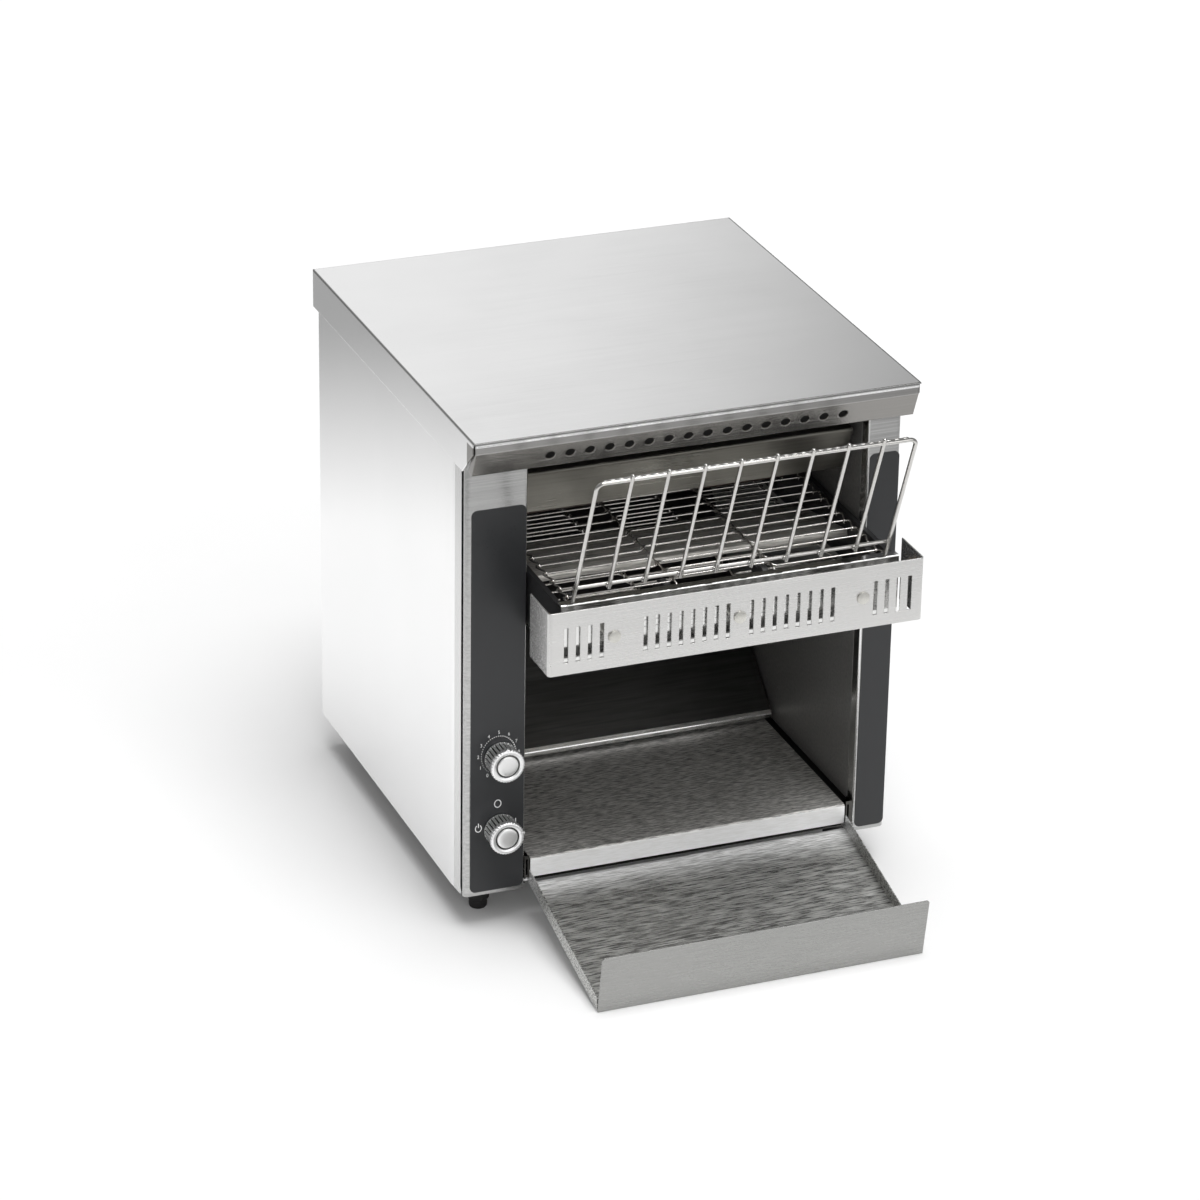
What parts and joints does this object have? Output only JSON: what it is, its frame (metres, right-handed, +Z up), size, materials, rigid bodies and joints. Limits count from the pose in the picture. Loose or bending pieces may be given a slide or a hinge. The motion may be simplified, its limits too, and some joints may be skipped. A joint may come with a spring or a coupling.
{
  "type": "conveyor toaster",
  "caption": "Countertop conveyor toaster: stainless casing, wire belt behind a leaning bread rack and slotted guard, two control knobs, sloped discharge tray on rubber feet.",
  "frame": {"origin": "centre of the bounding box in plan, on the surface that the feet stand on", "axes": "+Z up, the loading mouth, knobs and discharge tray face -Y, +X to the right seen from the front"},
  "size_m": [0.368, 0.518, 0.4307],
  "materials": {
    "belt_wire": "bright stainless wire",
    "black_plastic": "matt black moulded plastic",
    "bush_bronze": "sintered bronze",
    "bush_ceramic": "off-white steatite",
    "chain_steel": "oiled roller chain steel",
    "chamber_steel": "heat-darkened stainless sheet",
    "channel_steel": "brushed stainless, darker from heat",
    "column_steel": "brushed stainless, grain across",
    "deflector_steel": "heat-browned brushed stainless",
    "element_sheath": "matt heat-resistant sheath",
    "fastener_steel": "plain zinc-plated steel",
    "foot_rubber": "matt black rubber",
    "guard_steel": "brushed stainless, grain along its width",
    "hood_steel": "satin stainless sheet, brushed along its width",
    "inner_steel": "plain stainless sheet",
    "knob_metal": "satin anodised cap over a dark fluted body",
    "mineral_wool": "matt mineral wool blanket",
    "motor_casting": "zinc gearbox and painted motor can",
    "overlay_black": "matt charcoal film overlay",
    "panel_steel": "satin stainless sheet, brushed upright",
    "rack_chrome": "bright chromed wire",
    "rail_black": "matt black coated steel",
    "shaft_steel": "ground steel shaft",
    "sprocket_black": "matt black sprockets",
    "tray_steel": "coarsely brushed stainless sheet"
  },
  "bodies": {
    "casing": {"hood": "hood_steel", "left_side_panel": "panel_steel", "right_side_panel": "panel_steel", "back_panel": "panel_steel", "base_pan": "inner_steel", "control_column": "column_steel", "plain_column": "column_steel", "control_overlay": "overlay_black", "plain_overlay": "overlay_black", "feet": "foot_rubber", "foot_screws": "fastener_steel", "back_panel_screws": "fastener_steel", "left_inner_wall": "chamber_steel", "right_inner_wall": "chamber_steel", "roof_plate": "chamber_steel", "insulation": "mineral_wool", "upper_reflector": "chamber_steel", "lower_deflector": "deflector_steel", "upper_deflector": "deflector_steel", "toast_slide": "chamber_steel", "tray_runners": "inner_steel", "tray_brackets": "inner_steel", "left_conveyor_rail": "rail_black", "right_conveyor_rail": "rail_black", "conveyor_spacers": "fastener_steel", "front_channel": "channel_steel", "guard": "guard_steel", "guard_screws": "fastener_steel", "guard_spacers": "fastener_steel", "wire_belt": "belt_wire", "shaft_bushes": "bush_bronze", "drive_chain": "chain_steel", "gear_motor": "motor_casting", "motor_posts": "fastener_steel", "upper_element_front": "element_sheath", "upper_element_middle": "element_sheath", "upper_element_rear": "element_sheath", "lower_element_front": "element_sheath", "lower_element_rear": "element_sheath", "element_bushes": "bush_ceramic", "speed_control": "black_plastic", "power_switch": "black_plastic", "cooling_fan_frame": "black_plastic", "fan_guard": "fastener_steel", "power_inlet": "black_plastic"},
    "speed_knob_body": {"speed_knob": "knob_metal", "speed_spindle": "shaft_steel"},
    "power_knob_body": {"power_knob": "knob_metal", "power_spindle": "shaft_steel"},
    "drive_shaft_body": {"drive_shaft": "shaft_steel", "drive_belt_sprockets": "sprocket_black", "chain_sprocket": "chain_steel"},
    "idler_shaft_body": {"idler_shaft": "shaft_steel", "idler_belt_sprockets": "sprocket_black"},
    "motor_shaft_body": {"motor_shaft": "shaft_steel", "motor_sprocket": "chain_steel"},
    "fan_rotor_body": {"cooling_fan_rotor": "black_plastic"},
    "crumb_tray_body": {"crumb_tray": "tray_steel"},
    "discharge_tray_body": {"discharge_tray": "tray_steel"},
    "rack_body": {"bread_rack": "rack_chrome"}
  },
  "joints": [
    {"name": "speed_knob_turn", "type": "hinge", "parent": "casing", "child": "speed_knob_body", "pos_m": [-0.15195, -0.0986, 0.1517], "axis": [0, 1, 0], "range_deg": [-147.9, 88.6]},
    {"name": "power_knob_turn", "type": "hinge", "parent": "casing", "child": "power_knob_body", "pos_m": [-0.15195, -0.0986, 0.0886], "axis": [0, 1, 0], "range_deg": [-160, 0]},
    {"name": "drive_shaft_spin", "type": "hinge", "parent": "casing", "child": "drive_shaft_body", "pos_m": [0, 0.171, 0.2833], "axis": [1, 0, 0], "continuous": true},
    {"name": "idler_shaft_spin", "type": "hinge", "parent": "casing", "child": "idler_shaft_body", "pos_m": [0, -0.144, 0.2833], "axis": [1, 0, 0], "continuous": true},
    {"name": "motor_shaft_spin", "type": "hinge", "parent": "casing", "child": "motor_shaft_body", "pos_m": [-0.15, 0.171, 0.2071], "axis": [1, 0, 0], "continuous": true},
    {"name": "fan_spin", "type": "hinge", "parent": "casing", "child": "fan_rotor_body", "pos_m": [-0.15455, 0.24, 0.1216], "axis": [0, 1, 0], "continuous": true},
    {"name": "crumb_tray_slide", "type": "slide", "parent": "casing", "child": "crumb_tray_body", "axis": [0, -1, 0], "range_m": [0, 0.14]},
    {"name": "discharge_tray_pull", "type": "slide", "parent": "casing", "child": "discharge_tray_body", "axis": [0, -1, 0], "range_m": [0, 0.1]},
    {"name": "rack_lift", "type": "slide", "parent": "casing", "child": "rack_body", "axis": [0, -0.3714, 0.9285], "range_m": [0, 0.03]}
  ],
  "couplings": [
    {"joint": "idler_shaft_spin", "follows": "drive_shaft_spin", "ratio": 1},
    {"joint": "motor_shaft_spin", "follows": "drive_shaft_spin", "ratio": 1}
  ]
}
